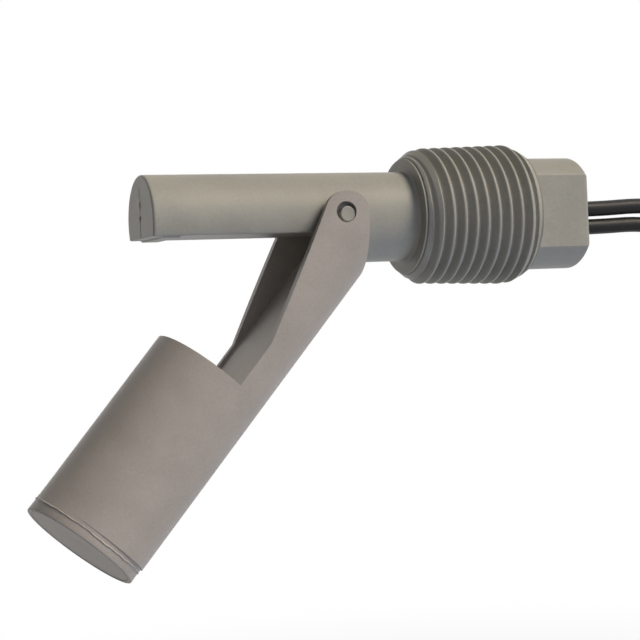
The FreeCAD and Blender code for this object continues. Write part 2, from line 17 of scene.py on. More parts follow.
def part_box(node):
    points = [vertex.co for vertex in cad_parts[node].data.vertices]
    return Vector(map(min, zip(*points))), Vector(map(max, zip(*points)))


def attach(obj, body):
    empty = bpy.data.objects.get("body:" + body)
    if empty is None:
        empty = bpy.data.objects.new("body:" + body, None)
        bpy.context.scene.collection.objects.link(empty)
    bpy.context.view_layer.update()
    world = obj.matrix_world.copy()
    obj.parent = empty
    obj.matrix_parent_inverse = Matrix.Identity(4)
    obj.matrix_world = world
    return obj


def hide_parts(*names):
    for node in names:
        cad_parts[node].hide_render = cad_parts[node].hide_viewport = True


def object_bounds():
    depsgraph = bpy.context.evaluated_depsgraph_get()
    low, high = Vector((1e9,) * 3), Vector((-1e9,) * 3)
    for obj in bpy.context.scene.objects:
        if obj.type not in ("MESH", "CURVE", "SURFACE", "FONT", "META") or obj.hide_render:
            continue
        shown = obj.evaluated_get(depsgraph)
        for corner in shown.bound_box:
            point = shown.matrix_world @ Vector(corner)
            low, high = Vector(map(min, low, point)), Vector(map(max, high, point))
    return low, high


MM = 0.001                   # sizes below are in millimetres, and Blender's unit is the metre
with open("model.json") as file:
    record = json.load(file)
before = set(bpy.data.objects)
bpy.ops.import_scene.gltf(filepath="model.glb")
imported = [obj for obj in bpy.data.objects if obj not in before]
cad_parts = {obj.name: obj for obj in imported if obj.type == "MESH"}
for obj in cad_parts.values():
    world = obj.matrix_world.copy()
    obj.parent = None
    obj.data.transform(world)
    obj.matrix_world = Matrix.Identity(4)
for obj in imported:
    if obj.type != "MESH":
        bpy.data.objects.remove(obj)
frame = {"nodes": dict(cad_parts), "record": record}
cad_box = [list(corner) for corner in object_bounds()]


def node_box(name):
    """A CAD node's lowest and highest corner in millimetres."""
    low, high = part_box(name)
    return np.array(low) / MM, np.array(high) / MM


body_low, body_high = node_box("switch_body")
hank_low, hank_high = node_box("lead_hank")
pivot = np.array(frame["record"]["behaviour"]["joints"][0]["pos_m"]) / MM
hang_angle = math.radians(frame["record"]["behaviour"]["joints"][0]["range_deg"][1])
print("switch body, mm:", body_low.round(2), body_high.round(2))

# %% [markdown]
# The camera stands a quarter of a metre in front of the switch and a little to its left,
# level with it, and is rolled by two and a half degrees. It could be turned by angles, but
# it is placed by its position and by the point that it looks at, because both are easy to
# check against the CAD frame.

# %% Camera
CAMERA_PLACE = Vector((-110.83, -247.99, -15.87))
CAMERA_AIM = Vector((-13.95, 0.0, -14.84))
CAMERA_ROLL = math.radians(2.5)
LENS, SENSOR = 102.65, 36.0  # millimetres too

direction = (CAMERA_AIM - CAMERA_PLACE).normalized()
right = direction.cross(Vector((0, 0, 1))).normalized()
up = right.cross(direction)
turned_right = right * math.cos(CAMERA_ROLL) - up * math.sin(CAMERA_ROLL)
turned_up = turned_right.cross(direction)
camera = bpy.data.objects.new("camera", bpy.data.cameras.new("camera"))
camera.data.lens = LENS
camera.data.sensor_width = SENSOR
camera.data.clip_start = 0.01
bpy.context.scene.collection.objects.link(camera)
turn = Matrix((turned_right, turned_up, -direction)).transposed().to_4x4()
camera.matrix_world = Matrix.Translation(CAMERA_PLACE * MM) @ turn
bpy.context.scene.camera = camera
print("camera, mm:", tuple(round(c, 2) for c in CAMERA_PLACE), "lens:", LENS)

# %% [markdown]
# Finishes come from nodes alone. Two helpers keep them short: one turns a hex colour as a
# painter writes it into the linear values that Blender mixes, and one adds a node with its
# settings and links.


# %% Colour and node helpers
def colour(code):
    """Linear red, green, blue and alpha of an sRGB hex colour such as #A0A0A0."""
    parts = np.array([int(code[i:i + 2], 16) for i in (1, 3, 5)]) / 255
    linear = np.where(parts <= 0.04045, parts / 12.92, ((parts + 0.055) / 1.055) ** 2.4)
    return (*linear.tolist(), 1.0)


def node(tree, kind, settings=None, **inputs):
    """Adds one node; inputs are values or other nodes' sockets, by the input's name."""
    made = tree.nodes.new("ShaderNode" + kind)
    for name, value in (settings or {}).items():
        setattr(made, name, value)
    for name, value in inputs.items():
        socket = made.inputs[name.replace("_", " ")]
        if isinstance(value, bpy.types.NodeSocket):
            tree.links.new(value, socket)
        else:
            socket.default_value = value
    return made


def new_finish(name, **principled):
    """A material with its node tree and its Principled shader."""
    material = bpy.data.materials.new(name)
    material.use_nodes = True
    tree = material.node_tree
    shader = tree.nodes["Principled BSDF"]
    for key, value in principled.items():
        shader.inputs[key.replace("_", " ")].default_value = value
    return material, tree, shader


def ramp(tree, factor, *stops):
    """A colour ramp through two (position, hex colour) stops."""
    made = node(tree, "ValToRGB", Fac=factor)
    for element, (position, shade) in zip(made.color_ramp.elements, stops):
        element.position = position
        element.color = colour(shade)
    return made


def per_mm(size):
    """A noise's scale for features of that many millimetres, on coordinates in metres."""
    return 1 / (size * MM)


print("#808080 in linear light:", round(colour("#808080")[0], 3))


# %% [markdown]
# The body, the float and its cap are injection-moulded polypropylene in warm greys. Each
# was moulded by itself and has its own tone: the float is a little browner than the body,
# and the cap's face is browner still. The cap face's finish is also darker as painted shade,
# for a face that turns down and away from the light. The mould leaves a matt, slightly
# waxy skin, with faint cloudy patches where the melt flowed and a fine grain. Two noises
# draw them, because a noise in space has no seam on any form. The real grain is finer than
# the one drawn here, which is as coarse as it must be to show.


# %% Moulded polypropylene
CLOUD_SIZE, GRAIN_SIZE, GRAIN_DEPTH = 7.0, 0.35, 0.03     # in mm


def polypropylene(name, light, dark):
    """A waxy plastic's weak gloss over clouds that run from dark to light, with a grain."""
    material, tree, shader = new_finish(name, Roughness=0.5, IOR=1.49, Specular_IOR_Level=0.35)
    where = node(tree, "TexCoord").outputs["Object"]
    clouds = node(tree, "TexNoise", Vector=where, Scale=per_mm(CLOUD_SIZE), Detail=3.0,
                  Roughness=0.55)
    grain = node(tree, "TexNoise", Vector=where, Scale=per_mm(GRAIN_SIZE), Detail=2.0)
    tone = ramp(tree, clouds.outputs["Fac"], (0.3, dark), (0.7, light))
    speck = node(tree, "MapRange", Value=grain.outputs["Fac"],
                 From_Min=0.3, From_Max=0.7, To_Min=0.95, To_Max=1.04)
    grained = node(tree, "VectorMath", {"operation": "SCALE"}, Scale=speck.outputs["Result"])
    tree.links.new(tone.outputs["Color"], grained.inputs[0])
    skin = node(tree, "Bump", Height=grain.outputs["Fac"], Strength=0.12,
                Distance=GRAIN_DEPTH * MM)
    tree.links.new(grained.outputs["Vector"], shader.inputs["Base Color"])
    tree.links.new(skin.outputs["Normal"], shader.inputs["Normal"])
    return material


body_plastic = polypropylene("moulded_polypropylene_body", "#A5A39C", "#9B9993")
float_plastic = polypropylene("moulded_polypropylene_float", "#B1AAA5", "#A7A09B")
# The cap face's finish: browner than the float's, which is its own tone, and darker, which is
# painted shade.
cap_face_shaded_plastic = polypropylene("moulded_polypropylene_cap_face_painted_shade", "#958C82", "#8C837A")
print("finishes:", body_plastic.name, float_plastic.name, cap_face_shaded_plastic.name)

# %% [markdown]
# The leads' insulation is smooth black PVC, drawn through a die: almost plain, with a soft
# gloss and a little dust. One noise does both, so that the black is lighter and duller in
# the same places, as dust makes it.


# %% PVC insulation
DUST_SIZE = 1.5              # mm


def pvc(name, shade, dusty):
    """Black that runs to its dusty shade, and from a soft gloss to a duller one with it."""
    material, tree, shader = new_finish(name, IOR=1.53, Specular_IOR_Level=0.22)
    where = node(tree, "TexCoord").outputs["Object"]
    dust = node(tree, "TexNoise", Vector=where, Scale=per_mm(DUST_SIZE), Detail=3.0)
    tone = ramp(tree, dust.outputs["Fac"], (0.35, shade), (0.75, dusty))
    polish = node(tree, "MapRange", Value=dust.outputs["Fac"], To_Min=0.38, To_Max=0.52)
    tree.links.new(tone.outputs["Color"], shader.inputs["Base Color"])
    tree.links.new(polish.outputs["Result"], shader.inputs["Roughness"])
    return material


lead_pvc = pvc("drawn_black_pvc", "#0F0D0E", "#171415")
print("finish:", lead_pvc.name)

# %% [markdown]
# The parts inside the switch, the tie and the bare ends stay as the CAD model has them and
# only get their finishes. Each of these is one plain stuff whose colour and gloss wander a
# little, so one helper makes them all: a noise of a given size runs between two shades and,
# the other way, between two roughnesses, and a finer noise gives the skin.


# %% Finishes of the inner parts
def plain_stuff(name, shades, patch, gloss, grit, depth, **principled):
    """patch and grit are the noises' sizes in mm, gloss the two roughnesses, depth the bump's
    height in mm."""
    material, tree, shader = new_finish(name, **principled)
    where = node(tree, "TexCoord").outputs["Object"]
    patches = node(tree, "TexNoise", Vector=where, Scale=per_mm(patch), Detail=3.0).outputs["Fac"]
    grain = node(tree, "TexNoise", Vector=where, Scale=per_mm(grit), Detail=2.0).outputs["Fac"]
    tone = ramp(tree, patches, (0.3, shades[0]), (0.7, shades[1]))
    polish = node(tree, "MapRange", Value=patches, To_Min=gloss[1], To_Max=gloss[0])
    skin = node(tree, "Bump", Height=grain, Strength=0.3, Distance=depth * MM)
    tree.links.new(tone.outputs["Color"], shader.inputs["Base Color"])
    tree.links.new(polish.outputs["Result"], shader.inputs["Roughness"])
    tree.links.new(skin.outputs["Normal"], shader.inputs["Normal"])
    return material


finishes = {
    "body_pp": body_plastic,
    "float_pp": float_plastic,
    "lead_pvc": lead_pvc,
    # Pressed and fired iron oxide: almost black, with a dull sparkle from its open grain.
    "ferrite": plain_stuff(
        "sintered_ferrite", ("#2E2D30", "#3A393C"), 1.2, (0.4, 0.6), 0.15, 0.02, IOR=2.2),
    # A glass tube drawn thin and melted shut: clear with a faint green tint and a fire polish.
    "reed_glass": plain_stuff(
        "drawn_green_tinted_glass", ("#DCEBDF", "#E6F1E8"), 3.0, (0.0, 0.03), 1.0, 0.004,
        IOR=1.52, Transmission_Weight=1.0),
    # Nickel-iron wire, flattened and plated: a soft, slightly warm metallic shine.
    "reed_wire": plain_stuff(
        "plated_nickel_iron", ("#B5B0A6", "#C4BFB5"), 0.8, (0.2, 0.32), 0.1, 0.002,
        Metallic=1.0),
    # Extruded soft tubing: milky white, with a silky skin.
    "sleeve": plain_stuff(
        "extruded_white_tubing", ("#D6D3C9", "#E0DDD4"), 2.0, (0.4, 0.5), 0.4, 0.005,
        IOR=1.45, Subsurface_Weight=0.1),
    # Copper strands dipped in tin: pale grey, dull where the tin froze in ripples.
    "tinned_metal": plain_stuff(
        "tinned_copper", ("#BDBBB5", "#CFCDC8"), 0.7, (0.25, 0.42), 0.2, 0.01, Metallic=1.0),
    # Epoxy that is poured in and sets hard: black, level and glossy, with a little dust.
    "resin": plain_stuff(
        "cast_black_epoxy", ("#141415", "#1E1E20"), 2.5, (0.18, 0.34), 0.5, 0.01, IOR=1.55),
    # Undyed nylon: off-white and slightly see-through, with a fine moulded skin.
    "tie_nylon": plain_stuff(
        "natural_nylon", ("#DAD8CE", "#E4E2D9"), 1.5, (0.32, 0.45), 0.25, 0.01,
        IOR=1.53, Subsurface_Weight=0.15),
}
for row in frame["record"]["subparts"]:
    part = frame["nodes"][row["node"]]
    part.data.materials.clear()
    part.data.materials.append(finishes[row["material_slot"]])

# %% [markdown]
# Each lead is one long flexible wire, so it is drawn as one smooth curve with a round
# section. Its points are listed from the head to the hank. The hank's turns are
# worked out in a loop: the lead winds inwards in its inner layer, then outwards in its
# outer one, and is pinched at the waist where the tie holds it.

# %% Leads
LEAD_DIAMETER = 2.38
LAYER_PITCH = 2.5
COLUMN_PITCH = 2.4
LOOP_RADIUS = 11.9
WAIST_RADIUS = 8.4           # of the widest loop, where the tie pinches it
END_RUN = 5.0                # straight lead over and under the hank
HALF_STEPS = 6               # points to half a turn

LEAD_A_ROUTE = [
    (27.65, 0.0, 0.555), (32.65, 0.0, 0.555), (42.0, -0.1, 1.1), (51.5, -0.4, -0.2),
    (59.2, -1.15, -9.8),
]
LEAD_B_ROUTE = [
    (27.65, 0.0, -2.195), (32.65, 0.0, -2.195), (41.5, 0.1, -1.75), (49.6, 0.4, -3.6),
    (57.7, 1.15, -11.4),
]
TAIL_A_ROUTE = [(60.2, -4.0, -11.0), (59.3, -4.6, -20.0)]    # z from the bottom loop's centre
TAIL_B_ROUTE = [(60.8, 4.0, -11.5), (61.6, 4.6, -22.5)]

hank_x = (hank_low[0] + hank_high[0]) / 2
top_z = hank_high[2] - LOOP_RADIUS - LEAD_DIAMETER / 2
bottom_z = hank_low[2] + LOOP_RADIUS + LEAD_DIAMETER / 2
waist_z = (top_z + bottom_z) / 2


def half_turn(x0, x1, z, side, y0, y1):
    """Points over half an ellipse from x0 to x1 at height z, upwards for side 1: x and z go
    round by cosine and sine of the angle, y goes evenly from y0 to y1. The radius is a
    little large, because the smooth curve runs inside its points."""
    angle = np.linspace(0, math.pi, HALF_STEPS + 1)[1:-1]
    grow = 1 / math.cos(math.pi / HALF_STEPS / 2)
    middle = (x0 + x1) / 2
    x = middle + (x0 - middle) * grow * np.cos(angle)
    height = max(abs(x0 - hank_x), abs(x1 - hank_x))
    rise = z + side * height * grow * np.sin(angle)
    y = y0 + (y1 - y0) * angle / math.pi
    return list(zip(x.tolist(), y.tolist(), rise.tolist()))


def hank_turns(side):
    """The control points of one lead's turns; side is -1 for lead A and 1 for lead B."""
    inner_y = side * LAYER_PITCH / 2
    outer_y = side * LAYER_PITCH * 1.5
    radii = [LOOP_RADIUS - COLUMN_PITCH * c for c in (0, 1, 2, 2, 1, 0)]
    layers = [inner_y] * 3 + [outer_y] * 3
    points = []
    for k, (radius, y) in enumerate(zip(radii, layers)):
        pinch = radius - (LOOP_RADIUS - WAIST_RADIUS)
        left, far = hank_x - radius, hank_x + radius
        points += [(left, y, top_z), (hank_x - pinch, y, waist_z), (left, y, bottom_z)]
        if k == len(radii) - 1:
            break
        points += half_turn(left, far, bottom_z, -1, y, y)
        points += [(far, y, bottom_z), (hank_x + pinch, y, waist_z), (far, y, top_z)]
        points += half_turn(far, hank_x - radii[k + 1], top_z, 1, y, layers[k + 1])
    return points


def lead(name, route, side, tail):
    """One lead as a NURBS curve along its route, its turns and its tail."""
    points = route + [(hank_x - LOOP_RADIUS, side * LAYER_PITCH / 2, top_z + END_RUN)]
    points += hank_turns(side)
    points += [(hank_x - LOOP_RADIUS, side * LAYER_PITCH * 1.5, bottom_z - END_RUN)]
    points += [(x, y, bottom_z + z) for x, y, z in tail]
    curve = bpy.data.curves.new(name, "CURVE")
    curve.dimensions = "3D"
    curve.bevel_depth = LEAD_DIAMETER / 2 * MM
    curve.bevel_resolution = 6
    curve.resolution_u = 8
    curve.use_fill_caps = True
    spline = curve.splines.new("NURBS")
    spline.points.add(len(points) - 1)
    for point, place in zip(spline.points, points):
        point.co = (*(c * MM for c in place), 1.0)
    spline.order_u = 3
    spline.use_endpoint_u = True
    curve.materials.append(lead_pvc)
    piece = bpy.data.objects.new(name, curve)
    bpy.context.scene.collection.objects.link(piece)
    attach(piece, "switch")
    print(name, len(points), "points")
    return piece


lead_a = lead("lead_wire_a", LEAD_A_ROUTE, -1, TAIL_A_ROUTE)
lead_b = lead("lead_wire_b", LEAD_B_ROUTE, 1, TAIL_B_ROUTE)
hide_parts("lead_a", "lead_tail_a", "lead_hank")
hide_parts("lead_b", "lead_tail_b")

# %% [markdown]
# Every smooth piece below is a grid: rows along the piece, columns round it. One helper
# joins the grid's neighbours with quads, closes the seam, merges points that meet at a
# pole, and shades smoothly except across sharp edges.


# %% Grid to piece
def grid_mesh(name, points, closed=True):
    """A mesh from a rows x columns x 3 array in millimetres; closed joins the last column
    to the first."""
    rows, columns = points.shape[:2]
    index = np.arange(rows * columns).reshape(rows, columns)
    if closed:
        index = np.concatenate([index, index[:, :1]], axis=1)
    quads = np.stack([index[:-1, :-1], index[:-1, 1:], index[1:, 1:], index[1:, :-1]], axis=-1)
    mesh = bpy.data.meshes.new(name)
    mesh.from_pydata((points.reshape(-1, 3) * MM).tolist(), [], quads.reshape(-1, 4).tolist())
    return mesh


def tidy_mesh(mesh, merge=0.004, sharp=38.0):
    """Merges points within merge millimetres, turns all faces outwards and marks the edges
    whose faces meet at more than sharp degrees."""
    shape = bmesh.new()
    shape.from_mesh(mesh)
    bmesh.ops.remove_doubles(shape, verts=shape.verts, dist=merge * MM)
    bmesh.ops.dissolve_degenerate(shape, edges=shape.edges, dist=0.2 * merge * MM)
    bmesh.ops.recalc_face_normals(shape, faces=shape.faces)
    shape.to_mesh(mesh)
    shape.free()
    mesh.shade_smooth()
    mesh.set_sharp_from_angle(angle=math.radians(sharp))
    return mesh


def add_piece(name, mesh, material, body):
    """Puts a mesh in the scene as a piece that rides on a body."""
    mesh.materials.clear()
    mesh.materials.append(material)
    piece = bpy.data.objects.new(name, mesh)
    bpy.context.scene.collection.objects.link(piece)
    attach(piece, body)
    print(name, len(mesh.polygons), "faces")
    return piece


def turned(profile, columns=192):
    """A surface of revolution about X from (x, radius) rows: y and z are the radius times the
    cosine and sine of the column's angle."""
    profile = np.array(profile, dtype=float)
    angle = np.linspace(0, 2 * math.pi, columns, endpoint=False)
    x = np.repeat(profile[:, :1], columns, axis=1)
    return np.stack([x, profile[:, 1:] * np.cos(angle), profile[:, 1:] * np.sin(angle)], axis=-1)


def rounded(centre, radius, start, end, steps=6):
    """(x, radius) points on an arc between two angles in degrees."""
    angle = np.radians(np.linspace(start, end, steps))
    return [(centre[0] + radius * math.cos(a), centre[1] + radius * math.sin(a)) for a in angle]


def above_zero(value, soft):
    """The value where it is positive and 0 where it is negative, with the corner rounded over
    about the soft width: half of the value plus the root of its square and soft's square."""
    return 0.5 * (value + np.sqrt(value ** 2 + soft ** 2))


print("rounded corner at 0:", above_zero(0.0, 0.16), "at 1:", round(above_zero(1.0, 0.16), 4))


# %% [markdown]
# The stem is a plain cylinder whose underside is cut to a flat, where the arm folds in
# when the float is up. A low pad near the tip stops the arm, and the flat ends in a small
# fillet at the hinge axis. At its root the stem runs out in a fillet to the thread's flat
# front face. It could be cut with Booleans, but one grid keeps each edge as soft as a
# mould makes it: the surface follows the cylinder, and each point that would lie under
# the flat is lifted to it with a rounded corner.

# %% Stem sizes
STEM_RADIUS = 6.6
RIM = 0.35                   # the tip's rounded rim
FLAT_LEVEL = -2.4
FLAT_FILLET = 0.8            # where the flat ends, at the hinge axis
EDGE_BLEND = 0.16            # how softly the flat meets the round
PAD_START, PAD_END, PAD_HEIGHT = 1.6, 4.1, 0.25     # both ends are counted from the tip
PAD_SLOPE = 0.12             # half the width over which the pad's ends rise
PAD_MARGIN, PAD_SIDE = 0.9, 0.15     # from the stem's side to the pad's; half its side's rise
ROOT_FILLET = 0.5
FRONT_RADIUS = 8.5           # of the thread's flat front face
FRONT_EDGE = 0.08            # its rounded edge
FRONT_PLACE = -0.1           # of the face, just in front of the thread
FRONT_STEP = 0.28            # where the thread's cone starts, past a narrow land
LAND_END, CLOSED_AT = 0.2, 0.7       # the land ends, and the stem closes inside the thread
tip_x = body_low[0] - 0.1
print("stem from", round(tip_x, 2), "to", FRONT_PLACE, "mm")

# %% [markdown]
# The flat and the pad are levels under the stem. A hard step in a level would leave ragged
# edges where it crosses the grid, so each pad edge is a smooth step, a few rows wide.


# %% Flat and pad
def flat_height(x):
    """The lowest level that the stem reaches at x: the flat, lower by a quarter circle in the
    fillet at its end, and nothing past the hinge axis."""
    into = np.clip(x - pivot[0] + FLAT_FILLET, 0, FLAT_FILLET)
    dip = FLAT_FILLET - np.sqrt(FLAT_FILLET ** 2 - into ** 2)
    return np.where(x > pivot[0], -2 * STEM_RADIUS, FLAT_LEVEL - dip)


def soft_step(value, edge):
    """0 below, 1 above, smooth over the edge's width on both sides of zero."""
    t = np.clip(value / edge * 0.5 + 0.5, 0, 1)
    return t * t * (3 - 2 * t)


def pad_share(x, y):
    """1 on the pad and 0 off it: a soft step at each end times one at the sides."""
    ends = soft_step(x - tip_x - PAD_START, PAD_SLOPE) * soft_step(tip_x + PAD_END - x, PAD_SLOPE)
    sides = soft_step(STEM_RADIUS - PAD_MARGIN - np.abs(y), PAD_SIDE)
    return ends * sides * (x > tip_x + RIM)


print("flat at the tip and past the hinge:", flat_height(np.array([tip_x, pivot[0] + 1.0])))

# %% [markdown]
# The tip's face keeps small marks of its moulding: a faint crease down the middle, a nub,
# such as a cut gate leaves, and a dot below it. They are too small to be pieces, so they
# are bell curves, added to the face's own points.

# %% Marks on the tip
FACE_ROWS = 64               # close enough for the marks
CREASE_DEPTH, CREASE_WIDTH, CREASE_MIDDLE, CREASE_REACH = 0.07, 0.16, 1.2, 3.6
NUB_HEIGHT, NUB_LEVEL, NUB_SIZE, NUB_CLEAR = 0.2, 2.4, (0.5, 0.6), 0.8
DOT_DEPTH, DOT_LEVEL, DOT_SIZE = 0.55, 0.4, (0.36, 0.26)


def bell(y, z, size, power=1):
    """1 in the middle, and e to the minus squared distance away from it. The distance counts
    in the bell's size across and up, and a higher power makes the top flat."""
    return np.exp(-((y / size[0]) ** 2 + (z / size[1]) ** 2) ** power)


def tip_marks(y, z):
    """How far into the face a point moves: the crease, which fades at the nub, less the nub,
    plus the dot."""
    crease = CREASE_DEPTH * np.exp(-(y / CREASE_WIDTH) ** 2)
    crease = crease * (np.abs(z - CREASE_MIDDLE) < CREASE_REACH)
    crease = crease * (1 - np.exp(-((z - NUB_LEVEL) / NUB_CLEAR) ** 4))
    nub = NUB_HEIGHT * bell(y, z - NUB_LEVEL, NUB_SIZE)
    return crease - nub + DOT_DEPTH * bell(y, z - DOT_LEVEL, DOT_SIZE, 2)


print("the dot's depth in its middle:", round(float(tip_marks(0.0, DOT_LEVEL)), 2), "mm")

# %% [markdown]
# Now the stem itself. Each of its rows is a circle before the flat lifts its lower part, so
# a list of places and radii is all that the shape needs. The rows lie closest where the
# outline bends most.


# %% Stem
def stem_rows():
    """x and radius of each row: from the tip's middle over its rim, along the stem, out along
    the root's fillet, over the front face's edge and back to the middle inside the thread."""
    quarter = math.pi / 2
    rim_turn = np.linspace(0, quarter, 6)
    root_turn = np.linspace(0, quarter, 12)
    edge_turn = np.linspace(0, quarter, 5)
    face_radius = (STEM_RADIUS - RIM) * np.linspace(0, 1, FACE_ROWS + 1)[:-1]
    along = np.concatenate([
        np.linspace(tip_x + RIM + 0.2, tip_x + PAD_END + 0.6, 44),
        np.linspace(tip_x + PAD_END + 1.2, pivot[0] - FLAT_FILLET - 0.3, 24),
        np.linspace(pivot[0] - FLAT_FILLET, pivot[0], 10),
        np.linspace(pivot[0] + 0.03, FRONT_PLACE - ROOT_FILLET - 0.3, 20),
    ])
    x = np.concatenate([
        np.full(FACE_ROWS, tip_x),
        tip_x + RIM - RIM * np.cos(rim_turn),
        along,
        FRONT_PLACE - ROOT_FILLET + ROOT_FILLET * np.sin(root_turn),
        FRONT_PLACE + FRONT_EDGE - FRONT_EDGE * np.cos(edge_turn),
        [LAND_END, LAND_END + 0.04, CLOSED_AT, CLOSED_AT],
    ])
    radius = np.concatenate([
        face_radius,
        STEM_RADIUS - RIM + RIM * np.sin(rim_turn),
        np.full(len(along), STEM_RADIUS),
        STEM_RADIUS + ROOT_FILLET - ROOT_FILLET * np.cos(root_turn),
        FRONT_RADIUS - FRONT_EDGE + FRONT_EDGE * np.sin(edge_turn),
        [FRONT_RADIUS, FRONT_RADIUS - 0.07, FRONT_RADIUS - 0.4, 0.0],
    ])
    return x[:, None], radius[:, None]


def stem_surface():
    """y and z are the row's radius times the cosine and sine of the column's angle, and z is
    at least the flat's level, less the pad's height. On the tip's face and rim the flat's
    level shrinks with the radius, so that the rows still meet in the middle."""
    x, radius = stem_rows()
    angle = np.linspace(0, 2 * math.pi, 256, endpoint=False)
    y = radius * np.cos(angle)
    z = radius * np.sin(angle)
    share = np.where(x > 0.5, 1.0, np.minimum(radius / STEM_RADIUS, 1.0))
    low = flat_height(x) * share - PAD_HEIGHT * pad_share(x, y)
    z = low + above_zero(z - low, EDGE_BLEND * share)
    x = x + np.where(x <= tip_x + 1e-6, tip_marks(y, z), 0)
    return np.stack([x, y, z], axis=-1)


stem_mesh = tidy_mesh(grid_mesh("stem", stem_surface()))
stem = add_piece("stem", stem_mesh, body_plastic, "switch")
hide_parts("switch_body")

# %% [markdown]
# The thread is the part that people look at. It could be a ridge swept along a helix and
# joined to a cone, but that leaves a ragged seam. Here one grid is sheared along the
# helix, so that each ridge runs along a line of the mesh and stays crisp: a point's place
# along the axis grows by one pitch for each turn round it. The radius is the root cone
# plus a ridge with sloping sides and a rounded crest. A cone at each end holds it down,
# and in the last half millimetre a steeper one makes the ridges run out.

# %% Tapered pipe thread
PITCH = 25.4 / 14            # 14 threads to the inch
TAPER = 1 / 16               # on diameter
THREAD_LENGTH = 18.7
CREST_DIAMETER = 19.93       # at the front end
THREAD_DEPTH = 1.2
FLANK_ANGLE = math.radians(30)       # from a flank to a plane across the axis
CREST_LAND = 0.16            # half of the crest's flat
CREST_SOFT = 0.07            # how softly crest and root turn into the flanks, as a height share
CREST_PHASE = 1.87           # from the front end to the first crest on the near side
FRONT_SLOPE = 0.78           # of the front chamfer, radius over length
REAR_CHAMFER = 2.4
RUNOUT_RADIUS, RUNOUT_SLOPE = 8.7, 1.7     # at the rear end, and radius over length
PER_TURN, PER_PITCH = 216, 20        # columns round one turn and rows along one pitch


def crest_radius(x):
    """Half of the front end's crest diameter and of the taper times the place along the axis."""
    return (CREST_DIAMETER + TAPER * x) / 2


def ridge(share):
    """Height from 0 to 1 over one pitch, with the crest at share 0: straight flanks, with a
    rounded corner at the crest and at the root."""
    away = np.abs(share - np.round(share)) * PITCH
    flank = (away - CREST_LAND) / (THREAD_DEPTH * math.tan(FLANK_ANGLE))
    height = above_zero(1 - flank, CREST_SOFT)
    return 1 - above_zero(1 - height, CREST_SOFT) + 0.5 * CREST_SOFT


def thread_surface():
    """x = place along the helix + pitch times turns; radius = cone + ridge, under the chamfers;
    y and z = radius times the cosine and sine of the turn, counted from the near side."""
    turn = np.arange(PER_TURN + 1) / PER_TURN
    rows = np.arange(-PER_PITCH, int(THREAD_LENGTH / PITCH * PER_PITCH) + 2) / PER_PITCH * PITCH
    x = np.clip(rows[:, None] + PITCH * turn, FRONT_STEP, THREAD_LENGTH)
    angle = math.pi + 2 * math.pi * turn
    root = crest_radius(x) - THREAD_DEPTH
    radius = root + THREAD_DEPTH * ridge((x - CREST_PHASE) / PITCH - turn)
    rear_root = crest_radius(THREAD_LENGTH) - THREAD_DEPTH
    rear_slope = (crest_radius(THREAD_LENGTH - REAR_CHAMFER) - rear_root) / REAR_CHAMFER
    left = THREAD_LENGTH - x
    radius = np.minimum(radius, FRONT_RADIUS + FRONT_SLOPE * x)
    radius = np.minimum(radius, np.maximum(rear_root + rear_slope * left, root))
    radius = np.minimum(radius, RUNOUT_RADIUS + RUNOUT_SLOPE * left)
    points = np.stack([x, radius * np.cos(angle), radius * np.sin(angle)], axis=-1)
    return np.concatenate([points[:1] * (1, 0, 0), points, points[-1:] * (1, 0, 0)])


thread_mesh = tidy_mesh(grid_mesh("pipe_thread", thread_surface(), closed=False), sharp=60)
thread = add_piece("pipe_thread", thread_mesh, body_plastic, "switch")

# %% [markdown]
# The wrench head is a round boss with two flats. It could be a cylinder cut by two
# planes, but then its rim's round would stop at the flats. It is a turned shape whose
# points are pushed in to the flats, and the rim's round takes from the flats as well. Its
# rear face is open in the middle, where the potted leads come out.

# %% Wrench head
HEAD_RADIUS = 8.45
FLAT_REACH = 6.5             # from the axis to a flat
FLAT_EDGE = 0.02             # how softly a flat meets the round
HEAD_ROUND = 0.6
POTTING_RADIUS = 4.8         # of the bore
BORE_EDGE = 0.15             # its rounded edge
NO_FLAT = 20.0               # a reach that cuts nothing, for the rows before the head
head_end = body_high[0] + 0.2


def head_profile():
    """(x, radius) rows out of the thread's rear face, along the head, over its rim, in along
    its rear face and into the bore."""
    start, shoulder = THREAD_LENGTH, head_end - HEAD_ROUND
    rear_root = crest_radius(start) - THREAD_DEPTH
    profile = [(start - 0.5, 0.0), (start - 0.5, rear_root - 0.3), (start, rear_root - 0.1)]
    profile += [(start, HEAD_RADIUS + 0.06), (start + 0.06, HEAD_RADIUS)]
    profile += [(x, HEAD_RADIUS) for x in np.linspace(start + 0.5, shoulder - 0.3, 8)]
    profile += rounded((shoulder, HEAD_RADIUS - HEAD_ROUND), HEAD_ROUND, 90, 0, 7)
    face = np.linspace(HEAD_RADIUS - HEAD_ROUND - 0.3, POTTING_RADIUS + BORE_EDGE + 0.1, 5)
    profile += [(head_end, radius) for radius in face]
    bore_edge = (head_end - BORE_EDGE, POTTING_RADIUS + BORE_EDGE)
    profile += rounded(bore_edge, BORE_EDGE, 0, -90, 4)[1:]
    return profile + [(head_end - 1.0, POTTING_RADIUS)]


def head_surface():
    """The turned profile, with |y| held under the flats' reach by a rounded corner. On the
    rim the reach gets less by 0.6 of what the round takes from the radius."""
    profile = head_profile()
    points = turned(profile, 256)
    x, y = points[..., 0], points[..., 1]
    taken = np.clip(HEAD_RADIUS - np.array(profile)[:, 1:], 0, HEAD_ROUND)
    taken = taken * (x > head_end - HEAD_ROUND)
    reach = np.where(x > THREAD_LENGTH + 0.02, FLAT_REACH - 0.6 * taken, NO_FLAT)
    pushed = np.abs(y) - above_zero(np.abs(y) - reach, FLAT_EDGE)
    points[..., 1] = np.where(reach == NO_FLAT, y, np.sign(y) * np.maximum(pushed, 0))
    return points


head_mesh = tidy_mesh(grid_mesh("wrench_head", head_surface()), sharp=25)
head = add_piece("wrench_head", head_mesh, body_plastic, "switch")

